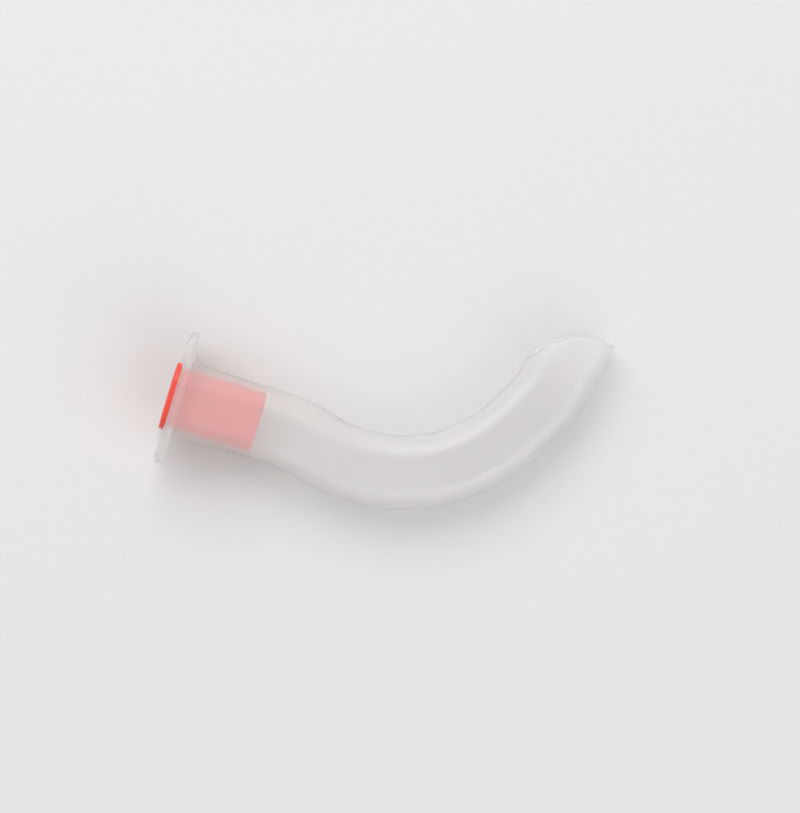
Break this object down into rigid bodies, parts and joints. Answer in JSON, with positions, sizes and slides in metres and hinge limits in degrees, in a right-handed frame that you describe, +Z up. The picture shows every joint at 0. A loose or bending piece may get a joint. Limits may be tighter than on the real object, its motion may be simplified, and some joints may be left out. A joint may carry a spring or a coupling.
{
  "type": "oropharyngeal airway",
  "caption": "Curved hollow mouth airway with a flange, a slanted rounded tip and a coloured bite block pressed into its straight end.",
  "frame": {"origin": "on the surface that the airway lies on, under the middle of its box", "axes": "+Z up as the airway rests on its side; +X from the flange along the bite portion towards the curve; +Y towards the side that the curve bends to"},
  "size_m": [0.098, 0.0586, 0.0221],
  "materials": {
    "soft_polyethylene": "translucent milky white, soft satin gloss",
    "red_plastic": "opaque red, smooth satin gloss"
  },
  "bodies": {
    "root": {"airway_body": "soft_polyethylene", "bite_block": "red_plastic"}
  },
  "joints": []
}
